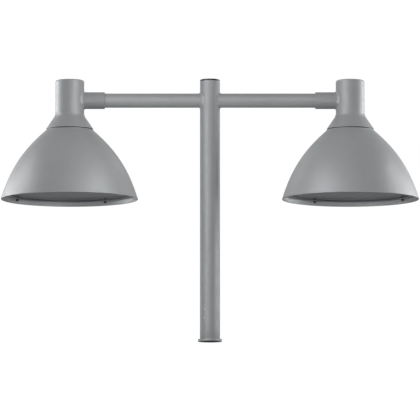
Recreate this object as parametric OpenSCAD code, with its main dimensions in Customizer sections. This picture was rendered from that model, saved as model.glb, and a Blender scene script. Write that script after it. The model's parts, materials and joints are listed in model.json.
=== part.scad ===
// Twin-head post-top area light: an upright post that drops over a pole
// spigot, two welded arms, and two bell-shaped luminaires with hinged glass
// doors. Millimetres, +Z up, front is -Y. The origin is at the centre of the
// underside of the collar, on the post axis.

/* [Post] */
// Outer diameter of the upright post tube
post_d = 88.9; // [88.9:0.1:95]
// Wall thickness of the post tube
post_wall = 4; // [3:0.25:4]
// Height of the top edge of the post tube
post_top = 1163.5; // [1155:0.5:1300]
// Outer diameter of the collar at the foot
collar_d = 106; // [102:1:130]
// Thickness of the collar
collar_h = 11.5; // [8:0.5:20]
// Bore of the socket that drops over the pole spigot
socket_d = 76.8; // [70:0.1:76.8]
// Depth of the socket
socket_depth = 160; // [155:1:200]
// Heights of the two rows of set screws
screw_row_1 = 103; // [80:1:115]
// Height of the upper row of set screws
screw_row_2 = 142; // [125:1:148]
// Plan angle of the first column of set screws
screw_angle = 232; // [200:1:250]
// Thickness of the cap above the tube
cap_h = 7.5; // [6:0.5:12]

/* [Arms] */
// Height of the arm axis
arm_z = 1077; // [1070:1:1085]
// Outer diameter of each arm tube
arm_d = 63.5; // [60:0.1:64]
// Wall thickness of each arm tube
arm_wall = 3.2; // [2.5:0.1:3.6]
// Distance from the post axis to each head axis
head_x = 625; // [580:5:800]
// Distance that the arm stops short of the head axis
arm_stop = 68; // [66:1:75]
// Size of the weld bead round each arm
weld_w = 4.5; // [3:0.5:6]

/* [Neck] */
// Outer diameter of the neck cylinder
neck_d = 128.5; // [126:0.5:132]
// Height of the closed top above the arm axis
neck_top = 90.5; // [85:0.5:100]
// Rounding of the top edge
neck_round = 8; // [4:0.5:12]
// Wall thickness of the cast neck
neck_wall = 6; // [5:0.5:6.5]
// Outer diameter of the side sleeve
sleeve_d = 75; // [74:0.5:80]
// Reach of the side sleeve from the head axis
sleeve_x = 156; // [150:1:160]
// Radial running clearance of the sleeve on the arm
sleeve_gap = 0.08; // [0.05:0.01:0.1]
// Radius of the fillet between cylinder and skirt
skirt_fillet = 43; // [38:1:48]
// Depth below the arm axis at which the fillet starts
skirt_start = 54; // [50:1:56]
// Angle of the skirt from vertical
skirt_angle = 34; // [32:0.5:35]
// Depth of the lower edge of the skirt below the arm axis
neck_base = 128.4; // [128:0.1:128.6]
// Largest levelling angle each way
level_max = 10; // [5:1:10]

/* [Shade] */
// Outer diameter of the shade at its rim
shade_d = 609.6; // [606:0.1:614]
// Depth of the rim below the arm axis
shade_base = 442; // [441:0.5:443]
// Outer radius of the shade at its top
shade_top_r = 106.5; // [105:0.5:108]
// Depth of the top of the shade below the arm axis
shade_top = 132.4; // [132.2:0.1:132.8]
// Wall thickness of the spun shade
shade_wall = 3; // [2.5:0.25:3]

/* [Door] */
// Outer radius of the door frame
door_r = 293; // [291:0.5:293]
// Depth of the underside of the door frame below the arm axis
door_base = 425; // [424.5:0.5:425]
// Thickness of the door frame
door_t = 8; // [8:0.5:8.5]
// Radius of the glass
glass_r = 268; // [266:0.5:268]
// Thickness of the glass
glass_t = 4; // [3:0.5:4]
// Distance of the hinge pin from the head axis
hinge_r = 286; // [285:0.5:287]
// Depth of the hinge pin below the arm axis
hinge_base = 431; // [431:0.5:431.5]
// Plan angle of the hinge on the left head
hinge_angle = 282.4; // [270:0.2:290]
// Distance of each latch from the head axis
latch_r = 283; // [282:0.5:283.5]
// Radius of the latch knob
knob_r = 6.5; // [5.5:0.5:7]

/* [Light engine] */
// Radius of the heat sink base
sink_r = 165; // [160:1:170]
// Number of fins on the heat sink
fins = 13; // [9:2:15]
// Height of the fins
fin_h = 48; // [30:2:60]
// Radius of the circle of cover plate screws
plate_screw_r = 152; // [150:1:154]

/* [Hidden] */
$fn = 96;
post_r = post_d / 2;
arm_r = arm_d / 2;
neck_r = neck_d / 2;
sleeve_r = sleeve_d / 2;
bore_r = arm_r + sleeve_gap;
socket_r = socket_d / 2;
rim_r = shade_d / 2;
fitter_r = post_r - post_wall - 0.05;
tray_z = -212;
sink_z = -379;
seat_z = -414;
latch_angles = [hinge_angle + 135, hinge_angle + 225];
screw_rows = [screw_row_1, screw_row_2];

// Control points of the shade's outer curve, as radius and height
shade_p0 = [shade_top_r, -shade_top - 2.9];
shade_p1 = [213, -227.5];
shade_p2 = [267, -317];
shade_p3 = [rim_r, -shade_base];

function bez(t) = pow(1 - t, 3) * shade_p0 + 3 * pow(1 - t, 2) * t * shade_p1
    + 3 * (1 - t) * t * t * shade_p2 + t * t * t * shade_p3;
function slope(t) = 3 * pow(1 - t, 2) * (shade_p1 - shade_p0)
    + 6 * (1 - t) * t * (shade_p2 - shade_p1) + 3 * t * t * (shade_p3 - shade_p2);
function unit(v) = v / norm(v);
function inner(t) = let (d = unit(slope(t))) bez(t) + shade_wall * [d[1], -d[0]];
// Inner wall radius of the shade at a height
function wall_r(z) = lookup(-z, [for (i = [0:26]) [-inner(i / 26)[1], inner(i / 26)[0]]]);
function arc(c, r, a0, a1, n) =
    [for (i = [0:n]) let (a = a0 + (a1 - a0) * i / n) c + r * [cos(a), sin(a)]];

// Places a head part at its arm: head axis at the origin, +X towards the post
module head(side) {
    if (side < 0) translate([-head_x, 0, arm_z]) children();
    else mirror([1, 0, 0]) translate([-head_x, 0, arm_z]) children();
}

// Mirrors a part made for the left side when side is positive
module on_side(side) {
    if (side < 0) children();
    else mirror([1, 0, 0]) children();
}

// Turns to a plan angle and moves out: x is then radial and y tangential
module polar(a, r, z = 0) {
    rotate([0, 0, a]) translate([r, 0, z]) children();
}

// A plain ring
module ring(ro, ri, z0, z1) {
    translate([0, 0, z0]) difference() {
        cylinder(h = z1 - z0, r = ro);
        translate([0, 0, -1]) cylinder(h = z1 - z0 + 2, r = ri);
    }
}

// A box from one corner to the other
module slab(a, b) {
    translate(a) cube(b - a);
}

// A cable of eight flats along a smooth curve through hand-set points.
// The path never runs along Y, which is the reference for the rings.
function through(p, i, t) = let (n = len(p) - 1,
    a = p[max(i - 1, 0)], b = p[i], c = p[min(i + 1, n)], d = p[min(i + 2, n)])
    0.5 * ((2 * b) + (c - a) * t + (2 * a - 5 * b + 4 * c - d) * t * t
    + (3 * b - a - 3 * c + d) * t * t * t);
function course(p, k) = concat(
    [for (i = [0:len(p) - 2]) for (j = [0:k - 1]) through(p, i, j / k)],
    [p[len(p) - 1]]);
function heading(q, i) = unit(q[min(i + 1, len(q) - 1)] - q[max(i - 1, 0)]);
module cable(p, r, k = 4) {
    q = course(p, k);
    n = len(q);
    s = 8;
    pts = [for (i = [0:n - 1]) let (t = heading(q, i),
        u = unit(cross([0, 1, 0], t)), v = cross(t, u))
        for (j = [0:s - 1]) q[i] + r * (cos(360 * j / s) * u + sin(360 * j / s) * v)];
    sides = [for (i = [0:n - 2]) for (j = [0:s - 1]) let (k2 = (j + 1) % s)
        [i * s + j, (i + 1) * s + j, (i + 1) * s + k2, i * s + k2]];
    polyhedron(points = pts, faces = concat(sides,
        [[for (j = [0:s - 1]) j]], [[for (j = [s - 1:-1:0]) (n - 1) * s + j]]),
        convexity = 4);
}

// ---------------------------------------------------------------- post

module post_tube() {
    color([0.56, 0.57, 0.58]) difference() {
        translate([0, 0, collar_h]) cylinder(h = post_top - collar_h, r = post_r);
        translate([0, 0, collar_h - 1]) cylinder(h = post_top, r = post_r - post_wall);
        // cable holes behind the arms
        translate([-60, 0, arm_z]) rotate([0, 90, 0]) cylinder(h = 120, r = 17);
        set_screw_holes(5.1);
    }
}

// Three columns of radial holes in each of the two rows
module set_screw_holes(r) {
    for (z = screw_rows) for (k = [0:2])
        rotate([0, 0, screw_angle + 120 * k]) translate([30, 0, z])
            rotate([0, 90, 0]) cylinder(h = 30, r = r, $fn = 32);
}

// Collar and thin spigot sleeve turned in one piece, with a stop lip on top
module pole_fitter() {
    color([0.56, 0.57, 0.58]) difference() {
        rotate_extrude() polygon([
            [socket_r, 0], [collar_d / 2 - 1, 0], [collar_d / 2, 1],
            [collar_d / 2, collar_h - 1.5], [collar_d / 2 - 1.5, collar_h],
            [fitter_r, collar_h], [fitter_r, socket_depth + 5],
            [30, socket_depth + 5], [30, socket_depth],
            [socket_r, socket_depth]]);
        set_screw_holes(5.1);
    }
}

module pole_set_screws() {
    color([0.35, 0.36, 0.37]) for (z = screw_rows) for (k = [0:2])
        rotate([0, 0, screw_angle + 120 * k]) translate([0, 0, z])
            rotate([0, 90, 0]) difference() {
                translate([0, 0, socket_r + 0.6])
                    cylinder(h = post_r - socket_r - 0.8, r = 5, $fn = 32);
                translate([0, 0, post_r - 3.2]) cylinder(h = 5, r = 2.9, $fn = 6);
            }
}

module post_cap() {
    color([0.03, 0.03, 0.03]) translate([0, 0, post_top]) rotate_extrude()
        polygon(concat([[0, cap_h]],
            arc([post_r - 5, cap_h - 5], 5, 90, 0, 6),
            [[post_r, 0.05], [fitter_r - 0.2, 0.05], [fitter_r - 0.2, -24],
             [fitter_r - 3, -24], [fitter_r - 3, -3], [0, -3]]));
}

// ---------------------------------------------------------------- arms

module arm_tube(side) {
    color([0.55, 0.56, 0.57]) on_side(side) difference() {
        translate([-head_x + arm_stop, 0, arm_z]) rotate([0, 90, 0])
            cylinder(h = head_x - arm_stop - 20, r = arm_r);
        translate([-head_x, 0, arm_z]) rotate([0, 90, 0])
            cylinder(h = head_x, r = arm_r - arm_wall);
        translate([0, 0, arm_z - 60]) cylinder(h = 120, r = post_r + 0.02);
        // slot for the locating screw, which sets the levelling range
        translate([-head_x + 115, 0, arm_z]) rotate([0, 90, 0])
            rotate([0, 0, 90 - level_max - 8.9])
                rotate_extrude(angle = 2 * level_max + 17.8)
                    translate([arm_r - arm_wall - 2, -4.4]) square([arm_wall + 4, 8.8]);
    }
}
module left_arm_tube() arm_tube(-1);
module right_arm_tube() arm_tube(1);

module arm_welds() {
    color([0.53, 0.54, 0.55]) for (side = [-1, 1]) on_side(side) intersection() {
        translate([-post_r - 20, 0, arm_z]) rotate([0, 90, 0]) difference() {
            cylinder(h = post_r + 10, r = arm_r + weld_w);
            translate([0, 0, -1]) cylinder(h = post_r + 12, r = arm_r + 0.02);
        }
        translate([0, 0, arm_z - 60]) difference() {
            cylinder(h = 120, r = post_r + weld_w);
            translate([0, 0, -1]) cylinder(h = 122, r = post_r + 0.02);
        }
    }
}

module supply_cable() {
    color([0.08, 0.08, 0.08]) cable([[0, 0, 172], [7, 0, 300], [-6, 0, 480],
        [6, 0, 660], [0, 0, 800], [0, 0, 870]], 6.5, 5);
}

// Fused splice block hung in the top of the post
module splice_block() {
    color([0.75, 0.74, 0.7]) difference() {
        slab([-24, -14, 870], [24, 14, 955]);
        for (x = [-15, 0, 15]) translate([x, -15, 945]) rotate([-90, 0, 0])
            cylinder(h = 8, r = 3.5, $fn = 24);
        for (x = [-15, 0, 15]) translate([x, -15, 885]) rotate([-90, 0, 0])
            cylinder(h = 8, r = 3.5, $fn = 24);
    }
}

module earth_lug() {
    color([0.75, 0.6, 0.25]) {
        translate([0, 36.2, 830]) rotate([-90, 0, 0]) difference() {
            cylinder(h = 1.8, r = 8, $fn = 32);
            translate([0, 0, -1]) cylinder(h = 4, r = 3.1, $fn = 32);
        }
        translate([0, 32.2, 830]) rotate([-90, 0, 0]) {
            cylinder(h = 4, r = 5.5, $fn = 6);
            cylinder(h = 8, r = 3, $fn = 32);
        }
    }
}

// Rubber bushing in each cable hole of the post
module cable_bushings() {
    color([0.05, 0.05, 0.05]) for (side = [-1, 1]) on_side(side)
        translate([0, 0, arm_z]) rotate([0, -90, 0]) difference() {
            union() {
                translate([0, 0, 38]) cylinder(h = 12, r = 16.8);
                translate([0, 0, 46.5]) cylinder(h = 3.5, r = 20);
            }
            translate([0, 0, 30]) cylinder(h = 24, r = 6.5);
        }
}

// Cable along the arm axis, with the plug half at its end
module arm_cable(side) {
    color([0.07, 0.07, 0.07]) on_side(side) union() {
        cable([[-9, 0, 955.1], [-9, 0, 990], [-11, 0, arm_z - 44],
            [-19, 0, arm_z - 13], [-34, 0, arm_z - 1], [-52, 0, arm_z], [-90, 0, arm_z],
            [-200, 0, arm_z], [-360, 0, arm_z], [-head_x + 64, 0, arm_z]], 4.5, 3);
        translate([-head_x + 38, 0, arm_z]) rotate([0, 90, 0]) {
            cylinder(h = 28, r = 9);
            translate([0, 0, 26]) cylinder(h = 12, r = 6.2);
        }
    }
}
module left_arm_cable() arm_cable(-1);
module right_arm_cable() arm_cable(1);

// ---------------------------------------------------------------- heads

fillet_end = [neck_r + skirt_fillet * (1 - cos(skirt_angle)),
    -skirt_start - skirt_fillet * sin(skirt_angle)];
skirt_r = fillet_end[0] + (neck_base - 1.2 + fillet_end[1]) * tan(skirt_angle);

// Cast neck: closed cylinder with a rounded top, flared skirt, and a sleeve
// that turns on the arm
module neck(side) {
    color([0.56, 0.57, 0.58]) head(side) difference() {
        union() {
            rotate_extrude() polygon(concat(
                [[0, neck_top]],
                arc([neck_r - neck_round, neck_top - neck_round], neck_round, 90, 0, 8),
                arc([neck_r + skirt_fillet, -skirt_start], skirt_fillet,
                    180, 180 + skirt_angle, 8),
                [[skirt_r, -neck_base + 1.2], [skirt_r - 0.6, -neck_base],
                 [skirt_r - 14, -neck_base], [skirt_r - 14, -neck_base + 5],
                 [fillet_end[0] - neck_wall, fillet_end[1] - 6],
                 [neck_r - neck_wall, -skirt_start],
                 [neck_r - neck_wall, neck_top - 8], [0, neck_top - 8]]));
            difference() {
                rotate([0, 90, 0]) cylinder(h = sleeve_x, r = sleeve_r);
                translate([0, 0, -60]) cylinder(h = 120, r = neck_r - 1);
            }
            for (k = [0:3]) polar(45 + 90 * k, 80, -neck_base)
                cylinder(h = 22, r = 8, $fn = 32);
        }
        translate([40, 0, 0]) rotate([0, 90, 0]) cylinder(h = 150, r = bore_r);
        for (k = [0:3]) polar(45 + 90 * k, 80, -neck_base - 1)
            cylinder(h = 18, r = 3.1, $fn = 32);
        for (x = [95, 135]) translate([x, 0, -25]) rotate([180, 0, 0])
            cylinder(h = 20, r = 4.1, $fn = 32);
        translate([115, 25, 0]) rotate([-90, 0, 0]) cylinder(h = 20, r = 4.1, $fn = 32);
    }
}
module left_neck() neck(-1);
module right_neck() neck(1);

// Two clamping screws under the sleeve, and one locating screw behind it that
// reaches into the slot of the arm
module neck_screws(side) {
    color([0.35, 0.36, 0.37]) head(side) {
        for (x = [95, 135]) translate([x, 0, -arm_r - 0.4]) rotate([180, 0, 0])
            difference() {
                cylinder(h = sleeve_r - arm_r + 0.2, r = 4, $fn = 32);
                translate([0, 0, sleeve_r - arm_r - 2.4]) cylinder(h = 5, r = 2.3, $fn = 6);
            }
        translate([115, arm_r - arm_wall + 0.2, 0]) rotate([-90, 0, 0]) difference() {
            cylinder(h = sleeve_r - arm_r + arm_wall - 0.4, r = 4, $fn = 32);
            translate([0, 0, sleeve_r - arm_r + arm_wall - 3.6])
                cylinder(h = 5, r = 2.3, $fn = 6);
        }
    }
}
module left_neck_screws() neck_screws(-1);
module right_neck_screws() neck_screws(1);

// Dark gasket that shows as the seam between neck and shade
module seam_gasket(side) {
    color([0.05, 0.05, 0.05]) head(side) difference() {
        ring(shade_top_r - 3.5, skirt_r - 13.5, -shade_top + 0.05, -neck_base - 0.05);
    }
}
module left_seam_gasket() seam_gasket(-1);
module right_seam_gasket() seam_gasket(1);

// Spun bell with a bolting flange at the top and a rounded rim
module shade(side) {
    steps = 26;
    rim_in = inner(1);
    color([0.57, 0.58, 0.59]) head(side) difference() {
        rotate_extrude() polygon(concat(
            [[58, -shade_top], [shade_top_r - 0.8, -shade_top], [shade_top_r, -shade_top - 0.8]],
            [for (i = [0:steps]) bez(i / steps)],
            [[rim_r - 0.7, -shade_base - 0.9], [rim_in[0] + 0.5, -shade_base - 1.2]],
            [for (i = [steps:-1:0]) inner(i / steps)],
            [[shade_top_r - 4, -shade_top - 4], [58, -shade_top - 4]]));
        for (k = [0:3]) polar(45 + 90 * k, 80, -shade_top - 6)
            cylinder(h = 8, r = 3.3, $fn = 32);
    }
}
module left_shade() shade(-1);
module right_shade() shade(1);

module shade_bolts(side) {
    color([0.6, 0.6, 0.6]) head(side) for (k = [0:3]) polar(45 + 90 * k, 80) difference() {
        union() {
            translate([0, 0, -shade_top - 4.1 - 5.5]) cylinder(h = 5.5, r = 5.5, $fn = 32);
            translate([0, 0, -shade_top - 8]) cylinder(h = 24, r = 3, $fn = 32);
        }
        translate([0, 0, -shade_top - 12]) cylinder(h = 5, r = 2.8, $fn = 6);
    }
}
module left_shade_bolts() shade_bolts(-1);
module right_shade_bolts() shade_bolts(1);

// Round tray on four stand-offs, which carries the control gear
module gear_tray(side) {
    color([0.72, 0.73, 0.74]) head(side) difference() {
        union() {
            translate([0, 0, tray_z]) cylinder(h = 2, r = 140);
            ring(140, 138, tray_z, tray_z + 12);
            for (k = [0:3]) polar(90 * k, 90, tray_z + 1)
                cylinder(h = -shade_top - 4.05 - tray_z - 1, r = 5, $fn = 32);
        }
        translate([-120, -45, tray_z - 1]) cylinder(h = 5, r = 9, $fn = 32);
        for (k = [0:5]) polar(30 + 60 * k, 118, tray_z - 1)
            cylinder(h = 5, r = 6, $fn = 32);
    }
}
module left_gear_tray() gear_tray(-1);
module right_gear_tray() gear_tray(1);

module driver(side) {
    z = tray_z + 2.05;
    color([0.82, 0.83, 0.84]) head(side) {
        difference() {
            slab([-84, -74, z], [84, -14, z + 34]);
            for (i = [0:6]) slab([-84.5, -70 + 8 * i, z + 31], [84.5, -66 + 8 * i, z + 35]);
        }
        difference() {
            slab([84, -60, z], [96, -28, z + 3]);
            translate([90, -44, z - 1]) cylinder(h = 5, r = 2.6, $fn = 24);
        }
    }
}
module left_driver() driver(-1);
module right_driver() driver(1);

module surge_protector(side) {
    z = tray_z + 2.05;
    color([0.75, 0.12, 0.1]) head(side) {
        slab([-66, 16, z], [-16, 58, z + 26]);
        slab([-74, 28, z], [-66, 46, z + 3]);
    }
}
module left_surge_protector() surge_protector(-1);
module right_surge_protector() surge_protector(1);

module terminal_block(side) {
    z = tray_z + 2.05;
    color([0.85, 0.84, 0.8]) head(side) difference() {
        slab([12, 20, z], [68, 46, z + 22]);
        for (x = [20, 30, 50, 60]) translate([x, 33, z + 12]) cylinder(h = 12, r = 3, $fn = 24);
    }
}
module left_terminal_block() terminal_block(-1);
module right_terminal_block() terminal_block(1);

// Supply lead from the arm plug down to the terminal block, and the light
// engine's lead from the driver down to the heat sink
module leads(side) {
    color([0.07, 0.07, 0.07]) head(side) {
        union() {
            translate([14, 0, 0]) rotate([0, 90, 0]) cylinder(h = 23.6, r = 9);
            cable([[20, 0, 0], [6, 0, -2], [-6, 0, -18], [-8, 0, -50], [-4, 6, -100],
                [16, 24, -138], [35, 32, tray_z + 51], [40, 33, tray_z + 36],
                [40, 33, tray_z + 24.4]], 4.2, 3);
        }
        cable([[-84.2, -44, tray_z + 16], [-100, -44, tray_z + 15], [-116, -44.5, tray_z + 4],
            [-120, -45, tray_z - 20], [-132, -30, tray_z - 80], [-146, 0, tray_z - 126],
            [-150, 14, sink_z + 19], [-150, 15, sink_z + 6.6]], 3, 3);
    }
}
module left_leads() leads(-1);
module right_leads() leads(1);

// Finned aluminium sink: a round base with parallel fins, hung from the tray
// on four stays
module heat_sink(side) {
    pitch = 18;
    color([0.7, 0.71, 0.72]) head(side) difference() {
        union() {
            translate([0, 0, sink_z]) cylinder(h = 6, r = sink_r);
            for (i = [0:fins - 1]) let (y = (i - (fins - 1) / 2) * pitch,
                x = floor(sqrt(pow(sink_r - 43, 2) - y * y)))
                slab([-x, y - 1.25, sink_z + 5], [x, y + 1.25, sink_z + 6 + fin_h]);
            for (k = [0:3]) polar(45 + 90 * k, sink_r - 32, sink_z + 5)
                cylinder(h = tray_z - sink_z - 5.05, r = 4, $fn = 32);
        }
        for (k = [0:7]) polar(45 * k, plate_screw_r, sink_z - 1)
            cylinder(h = 5.5, r = 2.1, $fn = 24);
    }
}
module left_heat_sink() heat_sink(-1);
module right_heat_sink() heat_sink(1);

module led_boards(side) {
    color([0.9, 0.9, 0.88]) head(side) for (x = [-1, 1]) for (y = [-1, 1])
        translate([52 * x, 52 * y, sink_z - 1.65]) {
            slab([-44, -44, 0], [44, 44, 1.6]);
        }
}
module left_led_boards() led_boards(-1);
module right_led_boards() led_boards(1);

// Moulded lens plates, sixteen domes each
module led_lenses(side) {
    color([0.85, 0.88, 0.9]) head(side) for (x = [-1, 1]) for (y = [-1, 1])
        translate([52 * x, 52 * y, sink_z - 1.7]) {
            translate([0, 0, -2.5]) slab([-43, -43, 0], [43, 43, 2.5]);
            for (i = [-1.5:1.5]) for (j = [-1.5:1.5])
                translate([20.5 * i, 20.5 * j, -6.5]) cylinder(h = 4.5, r1 = 5, r2 = 8.5, $fn = 32);
        }
}
module left_led_lenses() led_lenses(-1);
module right_led_lenses() led_lenses(1);

// Dark dished plate round the lenses, which rests on the door seat
module cover_plate(side) {
    color([0.06, 0.065, 0.07]) head(side) difference() {
        rotate_extrude() polygon([[0, sink_z - 0.1], [236, sink_z - 0.1], [268, seat_z + 4.2],
            [272, seat_z + 4.2], [272, seat_z + 2.6], [266.8, seat_z + 2.6],
            [235, sink_z - 1.9], [0, sink_z - 1.9]]);
        for (x = [-1, 1]) for (y = [-1, 1])
            slab([52 * x - 45.5, 52 * y - 45.5, sink_z - 4], [52 * x + 45.5, 52 * y + 45.5, sink_z + 2]);
        for (k = [0:7]) polar(45 * k, plate_screw_r, sink_z - 4)
            cylinder(h = 5.5, r = 2.3, $fn = 24);
    }
}
module left_cover_plate() cover_plate(-1);
module right_cover_plate() cover_plate(1);

module plate_screws(side) {
    color([0.12, 0.12, 0.12]) head(side) for (k = [0:7]) polar(45 * k, plate_screw_r) {
        translate([0, 0, sink_z - 5.2]) cylinder(h = 3.25, r1 = 3.4, r2 = 4.6, $fn = 24);
        translate([0, 0, sink_z - 2]) cylinder(h = 6, r = 2, $fn = 24);
    }
}
module left_plate_screws() plate_screws(-1);
module right_plate_screws() plate_screws(1);

// Ring welded inside the mouth; the door closes up against it, and each
// latch's crossbar passes through a slot in it
module door_seat(side) {
    color([0.3, 0.31, 0.32]) head(side) difference() {
        rotate_extrude() polygon([[266, seat_z], [wall_r(seat_z) - 0.1, seat_z],
            [wall_r(seat_z + 2.5) - 0.1, seat_z + 2.5], [266, seat_z + 2.5]]);
        for (a = latch_angles) polar(a, latch_r) slab([-4, -8.5, seat_z - 1], [4, 8.5, seat_z + 4]);
    }
}
module left_door_seat() door_seat(-1);
module right_door_seat() door_seat(1);

// Fixed half of the hinge: a plate that lies along the inside of the rim and
// two knuckles
module hinge_bracket(side) {
    color([0.5, 0.51, 0.52]) head(side) polar(hinge_angle, 0) difference() {
        union() {
            translate([295.25, 0, -hinge_base + 4]) rotate([0, -17.6, 0])
                slab([-2, -30, -11.5], [0, 30, 0]);
            for (s = [-1, 1]) {
                translate([hinge_r, s * 21.25, -hinge_base]) rotate([90, 0, 0])
                    cylinder(h = 17.5, r = 5, center = true, $fn = 48);
                slab([hinge_r, s * 21.25 - 8.75, -hinge_base - 3],
                    [294.7, s * 21.25 + 8.75, -hinge_base + 3.1]);
            }
        }
        translate([hinge_r, 0, -hinge_base]) rotate([90, 0, 0])
            cylinder(h = 80, r = 2.55, center = true, $fn = 48);
    }
}
module left_hinge_bracket() hinge_bracket(-1);
module right_hinge_bracket() hinge_bracket(1);

module hinge_pin(side) {
    color([0.7, 0.7, 0.7]) head(side) polar(hinge_angle, hinge_r, -hinge_base)
        rotate([90, 0, 0]) {
            cylinder(h = 62, r = 2.5, center = true, $fn = 48);
            for (s = [-1, 1]) translate([0, 0, s * 31.2])
                cylinder(h = 2, r = 3.6, center = true, $fn = 48);
        }
}
module left_hinge_pin() hinge_pin(-1);
module right_hinge_pin() hinge_pin(1);

// Dark door frame with a rebate for the glass and the moving knuckle
module door_frame(side) {
    zb = -door_base;
    color([0.07, 0.075, 0.08]) head(side) difference() {
        union() {
            rotate_extrude() polygon([[262, zb + 0.8], [262.8, zb], [door_r - 1, zb],
                [door_r, zb + 1], [door_r, zb + door_t], [glass_r + 0.6, zb + door_t],
                [glass_r + 0.6, zb + 2.3], [262, zb + 2.3]]);
            polar(hinge_angle, 0) {
                translate([hinge_r, 0, -hinge_base]) rotate([90, 0, 0])
                    cylinder(h = 24, r = 5, center = true, $fn = 48);
                slab([hinge_r - 5, -12, -hinge_base], [hinge_r + 5, 12, zb + 0.5]);
            }
        }
        polar(hinge_angle, hinge_r, -hinge_base) rotate([90, 0, 0])
            cylinder(h = 40, r = 2.55, center = true, $fn = 48);
        for (a = latch_angles) polar(a, latch_r, zb - 1)
            cylinder(h = door_t + 2, r = 3.06, $fn = 48);
    }
}
module left_door_frame() door_frame(-1);
module right_door_frame() door_frame(1);

module door_glass(side) {
    color([0.2, 0.24, 0.28, 0.5]) head(side)
        translate([0, 0, -door_base + 2.4]) cylinder(h = glass_t, r = glass_r);
}
module left_door_glass() door_glass(-1);
module right_door_glass() door_glass(1);

// Silicone ring that clamps the glass and seals against the seat
module door_gasket(side) {
    zg = -door_base + 2.4 + glass_t;
    zf = -door_base + door_t;
    color([0.05, 0.05, 0.05]) head(side) rotate_extrude() polygon([
        [263, zg + 0.05], [glass_r + 0.4, zg + 0.05], [glass_r + 0.4, zf + 0.05],
        [276, zf + 0.05], [276, seat_z - 0.35], [263, seat_z - 0.35]]);
}
module left_door_gasket() door_gasket(-1);
module right_door_gasket() door_gasket(1);

// Quarter-turn latch: ribbed knob below the door, stud through the frame and
// a crossbar above the seat, stored with the crossbar in line with its slot
module latch(side, a) {
    zb = -door_base;
    color([0.03, 0.03, 0.03]) head(side) polar(a, latch_r) {
        difference() {
            union() {
                translate([0, 0, zb - 9]) cylinder(h = 1, r1 = knob_r - 0.8, r2 = knob_r, $fn = 48);
                translate([0, 0, zb - 8]) cylinder(h = 7.7, r = knob_r, $fn = 48);
                translate([0, 0, zb - 1]) cylinder(h = seat_z + 6.5 - zb, r = 3, $fn = 48);
                slab([-3, -7, seat_z + 2.8], [3, 7, seat_z + 6]);
            }
            slab([-0.9, -5, zb - 10], [0.9, 5, zb - 7]);
        }
    }
}
module left_latch_a() latch(-1, latch_angles[0]);
module left_latch_b() latch(-1, latch_angles[1]);
module right_latch_a() latch(1, latch_angles[0]);
module right_latch_b() latch(1, latch_angles[1]);

post_tube();
pole_fitter();
pole_set_screws();
post_cap();
left_arm_tube();
right_arm_tube();
arm_welds();
supply_cable();
splice_block();
earth_lug();
cable_bushings();
left_arm_cable();
right_arm_cable();
left_neck();
left_neck_screws();
left_seam_gasket();
left_shade();
left_shade_bolts();
left_gear_tray();
left_driver();
left_surge_protector();
left_terminal_block();
left_leads();
left_heat_sink();
left_led_boards();
left_led_lenses();
left_cover_plate();
left_plate_screws();
left_door_seat();
left_hinge_bracket();
left_hinge_pin();
left_door_frame();
left_door_glass();
left_door_gasket();
left_latch_a();
left_latch_b();
right_neck();
right_neck_screws();
right_seam_gasket();
right_shade();
right_shade_bolts();
right_gear_tray();
right_driver();
right_surge_protector();
right_terminal_block();
right_leads();
right_heat_sink();
right_led_boards();
right_led_lenses();
right_cover_plate();
right_plate_screws();
right_door_seat();
right_hinge_bracket();
right_hinge_pin();
right_door_frame();
right_door_glass();
right_door_gasket();
right_latch_a();
right_latch_b();
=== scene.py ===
"""Looks for the twin-head post-top area light. Metres, in the part's own frame."""
import bpy
import bmesh
import json
import math
from mathutils import Matrix, Vector

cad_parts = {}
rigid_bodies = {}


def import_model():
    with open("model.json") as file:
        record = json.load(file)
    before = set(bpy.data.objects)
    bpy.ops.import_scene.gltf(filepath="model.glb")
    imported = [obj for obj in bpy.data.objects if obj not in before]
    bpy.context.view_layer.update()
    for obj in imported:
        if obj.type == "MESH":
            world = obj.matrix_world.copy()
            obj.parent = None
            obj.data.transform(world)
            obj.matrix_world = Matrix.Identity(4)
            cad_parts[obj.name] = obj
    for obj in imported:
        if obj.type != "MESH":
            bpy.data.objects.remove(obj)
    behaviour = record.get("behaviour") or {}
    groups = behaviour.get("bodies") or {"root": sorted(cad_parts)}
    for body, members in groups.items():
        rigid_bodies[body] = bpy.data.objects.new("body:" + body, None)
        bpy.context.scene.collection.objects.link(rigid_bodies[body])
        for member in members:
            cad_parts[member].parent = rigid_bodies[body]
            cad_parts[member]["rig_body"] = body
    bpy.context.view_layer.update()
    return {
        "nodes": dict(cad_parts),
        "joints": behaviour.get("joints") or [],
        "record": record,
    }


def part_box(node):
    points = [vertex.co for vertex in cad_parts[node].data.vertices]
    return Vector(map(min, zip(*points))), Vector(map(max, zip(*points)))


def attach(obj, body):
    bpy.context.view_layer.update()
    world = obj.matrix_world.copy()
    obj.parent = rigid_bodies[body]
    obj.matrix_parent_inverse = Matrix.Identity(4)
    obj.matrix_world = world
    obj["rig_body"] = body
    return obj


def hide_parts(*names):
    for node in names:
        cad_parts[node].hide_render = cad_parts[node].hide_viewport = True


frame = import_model()

MM = 0.001
JOINTS = {j["name"]: j for j in frame["joints"]}
HX = -JOINTS["left_level"]["pos_m"][0]
AZ = JOINTS["left_level"]["pos_m"][2]
HINGE_A = math.radians(282.4)
LATCH_A = [HINGE_A + math.radians(135), HINGE_A + math.radians(225)]

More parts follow.
